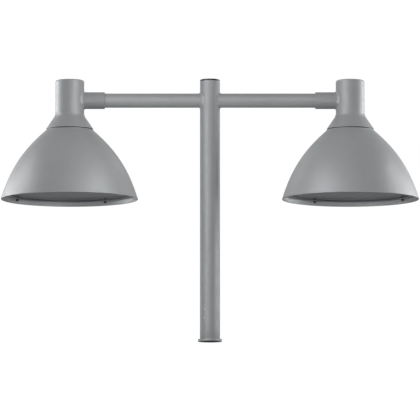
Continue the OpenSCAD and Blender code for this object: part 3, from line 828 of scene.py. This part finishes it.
def shade():
    o = lathe("shade", shade_profile(), n=288, angle=40)
    for k in range(4):
        m = polar(math.radians(45 + 90 * k), 80)
        p = m @ Vector((0, 0, 0))
        c = lathe("hole", [(0, -SHADE_TOP - 8), (3.3, -SHADE_TOP - 8), (3.3, -SHADE_TOP + 3), (0, -SHADE_TOP + 3)], p, 32)
        boolean(o, c, "DIFFERENCE", angle=40)
    return o


head_piece("neck_skin", neck(), "powder_coat", "head", ["neck"], angle=38)
head_piece("shade_skin", shade(), "powder_coat", "head", ["shade"], angle=40)

gk = lathe("gasket", rounded([(91.2, -SHADE_TOP + 0.1, 0.4), (103.4, -SHADE_TOP + 0.1, 1.2), (103.4, -NECK_BASE - 0.1, 1.2),
                              (91.2, -NECK_BASE - 0.1, 0.4)], 5), n=224)
head_piece("seam_gasket_skin", gk, "rubber_black", "head", ["seam_gasket"])


# ---- light engine
def cover_plate():
    prof = rounded([(0, SINK_Z - 0.1, 0), (236, SINK_Z - 0.1, 8), (268, SEAT_Z + 4.2, 3), (272, SEAT_Z + 4.2, 0.4),
                    (272, SEAT_Z + 2.6, 0.4), (266.8, SEAT_Z + 2.6, 3), (235, SINK_Z - 1.9, 8), (0, SINK_Z - 1.9, 0)], 6)
    o = lathe("cover_plate", densify(prof, 30), n=192)
    for x in (-52, 52):
        for y in (-52, 52):
            c = outline_prism("win", rect(x - 45.5, y - 45.5, x + 45.5, y + 45.5, 6), SINK_Z - 5, SINK_Z + 3)
            boolean(o, c, "DIFFERENCE")
    for k in range(8):
        m = polar(math.radians(45 * k), 152)
        p = m @ Vector((0, 0, 0))
        c = lathe("hole", [(0, SINK_Z - 5), (2.3, SINK_Z - 5), (2.3, SINK_Z + 3), (0, SINK_Z + 3)], p, 32)
        boolean(o, c, "DIFFERENCE")
    return o


head_piece("cover_plate_skin", cover_plate(), "dark_coat", "head", ["cover_plate"])


def plate_screws():
    prof = rounded([(0, SINK_Z - 5.1, 0), (3.6, SINK_Z - 5.0, 1.0), (4.6, SINK_Z - 2.0, 0.3), (2.0, SINK_Z - 2.0, 0.1),
                    (2.0, SINK_Z + 3.9, 0.4), (0, SINK_Z + 3.9, 0)], 4)
    one = lathe("screw", prof, n=40)
    boolean(one, outline_prism("hex", circle_pts(1.6, 6), SINK_Z - 8, SINK_Z - 3.4), "DIFFERENCE")
    objs = []
    for k in range(8):
        m = polar(math.radians(45 * k), 152)
        m.translation = m.translation * MM
        objs.append(copy_of(one, "s", m))
    bpy.data.objects.remove(one)
    return join("plate_screws", objs)


head_piece("plate_screws_skin", plate_screws(), "black_screw", "head", ["plate_screws"])


def led_boards():
    """Board with rounded corners and sixteen emitters, four boards to a head."""
    objs = []
    for x in (-52, 52):
        for y in (-52, 52):
            b = outline_prism("board", rect(x - 44, y - 44, x + 44, y + 44, 3), SINK_Z - 1.65, SINK_Z - 0.05)
            b.data.materials.append(MAT["board_white"])
            objs.append(b)
            for i in range(4):
                for j in range(4):
                    cx, cy = x + 20.5 * (i - 1.5), y + 20.5 * (j - 1.5)
                    e = outline_prism("chip", rect(cx - 2.4, cy - 2.4, cx + 2.4, cy + 2.4, 0.5, 2), SINK_Z - 2.05, SINK_Z - 1.66)
                    e.data.materials.append(MAT["phosphor"])
                    objs.append(e)
    return join("boards", objs)


head_piece("led_boards_skin", led_boards(), None, "head", ["led_boards"])


def lenses():
    """Moulded lens plate with a dome over each emitter."""
    objs = []
    n = 28
    for x in (-52, 52):
        for y in (-52, 52):
            p = outline_prism("plate", rect(x - 43, y - 43, x + 43, y + 43, 5), SINK_Z - 4.2, SINK_Z - 2.2, bevel=0.4)
            objs.append(p)
            for i in range(4):
                for j in range(4):
                    cx, cy = x + 20.5 * (i - 1.5), y + 20.5 * (j - 1.5)
                    prof = [(0.0, SINK_Z - 4.25)]
                    prof.append((8.6, SINK_Z - 4.25))
                    for k in range(9):
                        t = math.radians(90 * k / 8)
                        prof.append((8.3 * math.cos(t), SINK_Z - 4.3 - 3.8 * math.sin(t)))
                    objs.append(lathe("dome", prof, (cx, cy, 0), n))
    return join("lenses", objs)


head_piece("led_lenses_skin", lenses(), "lens_clear", "head", ["led_lenses"])


def door_seat():
    prof = rounded([(266, SEAT_Z, 0.5), (292.55, SEAT_Z, 0.3), (291.7, SEAT_Z + 2.5, 0.3), (266, SEAT_Z + 2.5, 0.5)], 3)
    o = lathe("seat", prof, n=224)
    for a in LATCH_A:
        c = outline_prism("slot", rect(-4, -8.5, 4, 8.5, 2.5), SEAT_Z - 3, SEAT_Z + 6, polar(a, LATCH_R))
        boolean(o, c, "DIFFERENCE")
    return o


head_piece("door_seat_skin", door_seat(), "dark_coat", "head", ["door_seat"])


# ---- hinge
def tangential(a):
    """Rotation that sends +Z to the tangential direction at plan angle a."""
    t = Vector((-math.sin(a), math.cos(a), 0))
    x = Vector((math.cos(a), math.sin(a), 0))
    return Matrix((x, t.cross(x), t)).transposed()


def hinge_bracket():
    rot = polar(HINGE_A, 0)
    lean = rot @ Matrix.Translation((295.25, 0, -HINGE_BASE + 4)) @ Matrix.Rotation(math.radians(-17.6), 4, "Y")
    swap = Matrix(((0, 0, 1, 0), (1, 0, 0, 0), (0, 1, 0, 0), (0, 0, 0, 1)))
    body = outline_prism("plate", rect(-30, -11.5, 30, 0, 1.8), -2, 0, lean @ swap, bevel=0.25)
    pin = rot @ Vector((HINGE_R, 0, -HINGE_BASE))
    for s in (-1, 1):
        k = lathe("knuckle", rounded([(0, s * 21.25 - 8.75, 0), (5, s * 21.25 - 8.75, 0.5), (5, s * 21.25 + 8.75, 0.5),
                                     (0, s * 21.25 + 8.75, 0)], 3), pin, 64, tangential(HINGE_A))
        web = outline_prism("web", rect(HINGE_R + 0.2, s * 21.25 - 8.6, 294.7, s * 21.25 + 8.6, 0.6, 2), -HINGE_BASE - 3, -HINGE_BASE + 3.1, rot)
        boolean(body, web, "UNION")
        boolean(body, k, "UNION")
    # domed rivets that hold the plate to the rim
    for y in (-25.5, 25.5):
        head = rounded([(0, -2.05, 0), (2.1, -2.05, 0.2), (2.1, -2.5, 0.6), (0, -3.3, 0)], 4)
        m = lean @ Matrix.Translation((0, y * 0.9, -7.2)) @ swap
        boolean(body, lathe("rivet", [(p.x, p.y + 0.2) for p in head], m.to_translation(), 24, m.to_3x3()), "UNION")
    c = lathe("hole", [(0, -40), (2.55, -40), (2.55, 40), (0, 40)], pin, 48, tangential(HINGE_A))
    boolean(body, c, "DIFFERENCE")
    return body


head_piece("hinge_bracket_skin", hinge_bracket(), "stainless", "head", ["hinge_bracket"])


def hinge_pin():
    pin = polar(HINGE_A, 0) @ Vector((HINGE_R, 0, -HINGE_BASE))
    prof = rounded([(0, -32.2, 0), (3.6, -32.2, 0.7), (3.6, -30.2, 0.3), (2.5, -30.2, 0), (2.5, 30.2, 0), (3.6, 30.2, 0.3),
                    (3.6, 32.2, 0.7), (0, 32.2, 0)], 4)
    return lathe("pin", prof, pin, 48, tangential(HINGE_A))


head_piece("hinge_pin_skin", hinge_pin(), "stainless", "head", ["hinge_pin"])


# ---- door
def door_frame():
    zb = -DOOR_BASE
    prof = rounded([(262, zb, 1.0), (293, zb, 1.6), (293, zb + 8, 0.8), (268.6, zb + 8, 0.5), (268.6, zb + 2.3, 0.3), (262, zb + 2.3, 0.5)], 4)
    o = lathe("frame", prof, n=256)
    rot = polar(HINGE_A, 0)
    pin = rot @ Vector((HINGE_R, 0, -HINGE_BASE))
    k = lathe("knuckle", rounded([(0, -12, 0), (5, -12, 0.6), (5, 12, 0.6), (0, 12, 0)], 3), pin, 64, tangential(HINGE_A))
    web = outline_prism("web", rect(HINGE_R - 4.9, -11.9, HINGE_R + 4.9, 11.9, 0.8, 2), -HINGE_BASE, zb + 1.0, rot)
    boolean(o, web, "UNION")
    boolean(o, k, "UNION")
    c = lathe("hole", [(0, -20), (2.55, -20), (2.55, 20), (0, 20)], pin, 48, tangential(HINGE_A))
    boolean(o, c, "DIFFERENCE")
    for a in LATCH_A:
        p = polar(a, LATCH_R) @ Vector((0, 0, 0))
        c = lathe("hole", [(0, zb - 3), (3.06, zb - 3), (3.06, zb + 11), (0, zb + 11)], p, 48)
        boolean(o, c, "DIFFERENCE")
    return o


head_piece("door_frame_skin", door_frame(), "frame_coat_painted_light", "door", ["door_frame"])

zg = -DOOR_BASE + 2.4
g = lathe("glass", densify(rounded([(0, zg, 0), (268, zg, 0.8), (268, zg + 4, 0.8), (0, zg + 4, 0)], 4), 45), n=224)
head_piece("door_glass_skin", g, "door_glass", "door", ["door_glass"])

zf = -DOOR_BASE + 8
g = lathe("gasket", rounded([(263, zg + 4.05, 0.6), (268.4, zg + 4.05, 0.3), (268.4, zf + 0.05, 0.2), (276, zf + 0.05, 0.8),
                             (276, SEAT_Z - 0.35, 1.0), (263, SEAT_Z - 0.35, 1.0)], 4), n=224)
head_piece("door_gasket_skin", g, "rubber_grey", "door", ["door_gasket"])


def latch_knob(a):
    """Fluted quarter-turn knob with a coin slot."""
    zb = -DOOR_BASE
    n = 108
    levels = [(zb - 9.0, 0.86), (zb - 8.7, 0.93), (zb - 8.1, 0.985), (zb - 7.2, 1.0), (zb - 1.2, 1.0), (zb - 0.6, 0.97), (zb - 0.32, 0.92)]
    verts, faces = [], []
    for z, s in levels:
        for k in range(n):
            t = 2 * math.pi * k / n
            flute = 0.5 + 0.5 * math.cos(t * 18)
            r = 6.5 * s * (1 - 0.06 * (1 - flute))
            verts.append(Vector((r * math.cos(t), r * math.sin(t), z)))
    for i in range(len(levels) - 1):
        for k in range(n):
            k2 = (k + 1) % n
            faces.append((i * n + k, i * n + k2, (i + 1) * n + k2, (i + 1) * n + k))
    faces.append(tuple(range(n)))
    faces.append(tuple((len(levels) - 1) * n + k for k in range(n)))
    m = polar(a, LATCH_R)
    o = obj_from("knob", [(m @ v) * MM for v in verts], faces, 40)
    boolean(o, outline_prism("slot", rect(-0.9, -5, 0.9, 5, 0.3, 2), zb - 11, zb - 7.2, m), "DIFFERENCE", angle=40)
    return o


def latch_stud(a):
    m = polar(a, LATCH_R)
    p = m @ Vector((0, 0, 0))
    stud = lathe("stud", rounded([(0, -DOOR_BASE - 0.3, 0), (3, -DOOR_BASE - 0.3, 0.2), (3, SEAT_Z + 5.5, 0.3), (0, SEAT_Z + 5.5, 0)], 3), p, 48)
    bar = outline_prism("bar", rect(-3, -7, 3, 7, 1.2, 3), SEAT_Z + 2.8, SEAT_Z + 6.0, m, bevel=0.4)
    boolean(stud, bar, "UNION")
    return stud


for tag, a in zip("ab", LATCH_A):
    head_piece(f"latch_{tag}_knob", latch_knob(a), "latch_black", f"latch_{tag}", [f"latch_{tag}"], angle=40)
    head_piece(f"latch_{tag}_stud", latch_stud(a), "stainless", f"latch_{tag}", ())


def neck_screws():
    objs = []
    for x in (95, 135):
        prof = rounded([(0, -ARM_R - 0.4, 0), (3.4, -ARM_R - 0.4, 0.3), (4, -ARM_R - 1.0, 0.2), (4, -SLEEVE_R + 0.1, 0.5), (0, -SLEEVE_R - 0.1, 0)], 3)
        s = lathe("screw", prof, (x, 0, 0), 40)
        h = outline_prism("hex", circle_pts(2.3, 6), -SLEEVE_R - 4, -SLEEVE_R + 2.6, Matrix.Translation((x, 0, 0)))
        boolean(s, h, "DIFFERENCE")
        objs.append(s)
    rot = Matrix(((1, 0, 0), (0, 0, 1), (0, -1, 0)))
    prof = rounded([(0, 28.75, 0), (4, 28.75, 0.5), (4, SLEEVE_R - 0.1, 0.5), (0, SLEEVE_R, 0)], 3)
    s = lathe("screw", prof, (115, 0, 0), 40, rot)
    h = outline_prism("hex", circle_pts(2.3, 6), SLEEVE_R - 2.6, SLEEVE_R + 4, Matrix.Translation((115, 0, 0)) @ rot.to_4x4())
    boolean(s, h, "DIFFERENCE")
    objs.append(s)
    return join("neck_screws", objs)


head_piece("neck_screws_skin", neck_screws(), "stainless", "head", ["neck_screws"])


# ------------------------------------------------------------------ stage and light
def make_floor():
    """Pale ground disc, seen from above only: from below it lets the view through."""
    m = bpy.data.materials.new("floor")
    m.use_nodes = True
    nt = m.node_tree
    b = nt.nodes["Principled BSDF"]
    c = node(nt, "ShaderNodeTexCoord").outputs["Object"]
    col = ramp(nt, noise(nt, c, 0.8, 4.0), [(0.3, (0.50, 0.50, 0.505)), (0.7, (0.56, 0.56, 0.565))])
    nt.links.new(col, b.inputs["Base Color"])
    b.inputs["Roughness"].default_value = 0.9
    b.inputs["Specular IOR Level"].default_value = 0.1
    out = nt.nodes["Material Output"]
    geo = nt.nodes.new("ShaderNodeNewGeometry")
    tr = nt.nodes.new("ShaderNodeBsdfTransparent")
    mx = nt.nodes.new("ShaderNodeMixShader")
    nt.links.new(geo.outputs["Backfacing"], mx.inputs[0])
    nt.links.new(b.outputs[0], mx.inputs[1])
    nt.links.new(tr.outputs[0], mx.inputs[2])
    nt.links.new(mx.outputs[0], out.inputs["Surface"])
    n, r = 96, 9.5
    verts = [(0, 0, -0.03)] + [(r * math.cos(2 * math.pi * k / n), r * math.sin(2 * math.pi * k / n), -0.03) for k in range(n)]
    me = bpy.data.meshes.new("floor")
    me.from_pydata(verts, [], [(0, 1 + k, 1 + (k + 1) % n) for k in range(n)])
    o = link(bpy.data.objects.new("floor", me))
    me.materials.append(m)


def make_world():
    """White to the camera; to everything else a soft sky that is brighter overhead and at both sides."""
    w = bpy.data.worlds.new("world")
    bpy.context.scene.world = w
    w.use_nodes = True
    nt = w.node_tree
    nt.nodes.clear()
    out = nt.nodes.new("ShaderNodeOutputWorld")
    lp = nt.nodes.new("ShaderNodeLightPath")
    cam = nt.nodes.new("ShaderNodeBackground")
    cam.inputs["Color"].default_value = (1, 1, 1, 1)
    cam.inputs["Strength"].default_value = 1.02
    d = nt.nodes.new("ShaderNodeTexCoord").outputs["Generated"]
    total = None
    for axis, power, strength in (((0, 0, 1), 1.0, 0.54), ((1, 0, 0), 3.0, 0.37), ((-1, 0, 0), 3.0, 0.37),
                                  ((0, -1, 0), 3.0, 0.27), ((0, 1, 0), 3.0, 0.6)):
        dot = node(nt, "ShaderNodeVectorMath", operation="DOT_PRODUCT")
        nt.links.new(d, dot.inputs[0])
        dot.inputs[1].default_value = axis
        top = node(nt, "ShaderNodeMath", operation="MAXIMUM")
        nt.links.new(dot.outputs["Value"], top.inputs[0])
        top.inputs[1].default_value = 0.0
        pw = node(nt, "ShaderNodeMath", operation="POWER")
        nt.links.new(top.outputs[0], pw.inputs[0])
        pw.inputs[1].default_value = power
        ml = node(nt, "ShaderNodeMath", operation="MULTIPLY_ADD")
        nt.links.new(pw.outputs[0], ml.inputs[0])
        ml.inputs[1].default_value = strength
        if total is None:
            ml.inputs[2].default_value = 0.0
        else:
            nt.links.new(total, ml.inputs[2])
        total = ml.outputs[0]
    amb = nt.nodes.new("ShaderNodeBackground")
    amb.inputs["Color"].default_value = (0.985, 0.995, 1.0, 1)
    nt.links.new(total, amb.inputs["Strength"])
    mx = nt.nodes.new("ShaderNodeMixShader")
    nt.links.new(lp.outputs["Is Camera Ray"], mx.inputs[0])
    nt.links.new(amb.outputs[0], mx.inputs[1])
    nt.links.new(cam.outputs[0], mx.inputs[2])
    nt.links.new(mx.outputs[0], out.inputs["Surface"])


def area(name, loc, target, size, power, only=None):
    l = bpy.data.lights.new(name, "AREA")
    l.shape = "RECTANGLE"
    l.size, l.size_y = size
    l.energy = power
    o = link(bpy.data.objects.new(name, l))
    o.location = loc
    o.rotation_euler = (Vector(target) - Vector(loc)).to_track_quat("-Z", "Y").to_euler()
    if only is not None:
        o.light_linking.receiver_collection = only
    return o


def group_of(prefix):
    col = bpy.data.collections.new("lit_" + prefix)
    for o in bpy.data.objects:
        if o.type == "MESH" and o.get("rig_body", "").startswith(prefix):
            col.objects.link(o)
    return col


def soft_box(name, target, az, el, size, power, col, mirror=1):
    """Soft box at a plan angle from the front (-Y) and a height angle, 3.2 m from its target."""
    a, e = math.radians(az), math.radians(el)
    d = Vector((mirror * math.sin(a) * math.cos(e), -math.cos(a) * math.cos(e), math.sin(e)))
    area(name, Vector(target) + d * 3.2, target, size, power, col)


make_floor()
make_world()
bpy.context.scene.view_settings.view_transform = "Standard"
bpy.context.scene.view_settings.look = "None"

# plan angle, height angle, power. On either head a positive plan angle is towards the post.
HEAD_LIGHTS = [(-125, -8, 42), (-125, 8, 22), (-105, -8, 23), (-105, 8, 12), (-105, 28, 16), (-85, -8, 14), (-85, 28, 13.5), (-60, -8, 6), (-35, -8, 7.5),
               (-12, -8, 2.5), (12, -8, 8), (12, 28, 3), (30, -8, 20), (30, 28, 3), (45, -8, 22), (45, 28, 10),
               (60, -8, 8), (60, 28, 14.5), (80, -8, 2.5), (80, 28, 2), (100, -8, 17), (125, 28, 5)]
MAST_LIGHTS = [(-105, -8, 2), (-125, -8, 12), (-60, -8, 15), (-60, 28, 13), (-35, -8, 24.5), (-35, 28, 22), (-12, -8, 13),
               (-12, 28, 3), (12, -8, 3), (12, 28, 9.5), (60, -8, 11.5), (80, -8, 25), (80, 28, 3), (100, -8, 13), (100, 28, 5),
               (125, -8, 18), (125, 28, 18)]
for prefix, sg in (("left", -1), ("right", 1)):
    col = group_of(prefix)
    for az, el, power in HEAD_LIGHTS:
        soft_box(f"{prefix}_{az}_{el}", (sg * HX, 0, 0.85), az, el, (1.3, 1.3), power, col, -sg)
    # bounce from the ground into the mouth of the shade
    o = area(f"{prefix}_bounce", (sg * HX, -0.35, 0.10), (sg * HX, 0.25, 0.64), (0.7, 0.35), 2.6, col)
    o.visible_camera = o.visible_glossy = False
col = group_of("post")
for az, el, power in MAST_LIGHTS:
    soft_box(f"mast_{az}_{el}", (0, 0, 0.75), az, el, (1.0, 2.0), power, col)
col = bpy.data.collections.new("lit_arms")
for o in bpy.data.objects:
    if o.type == "MESH" and "arm" in o.name and o.get("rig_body", "") == "post":
        col.objects.link(o)
for sg in (-1, 1):
    o = area(f"arm_bounce_{sg}", (sg * 0.33, -0.45, 0.35), (sg * 0.33, 0.0, 1.05), (0.5, 0.3), 1.6, col)
    o.visible_camera = o.visible_glossy = False
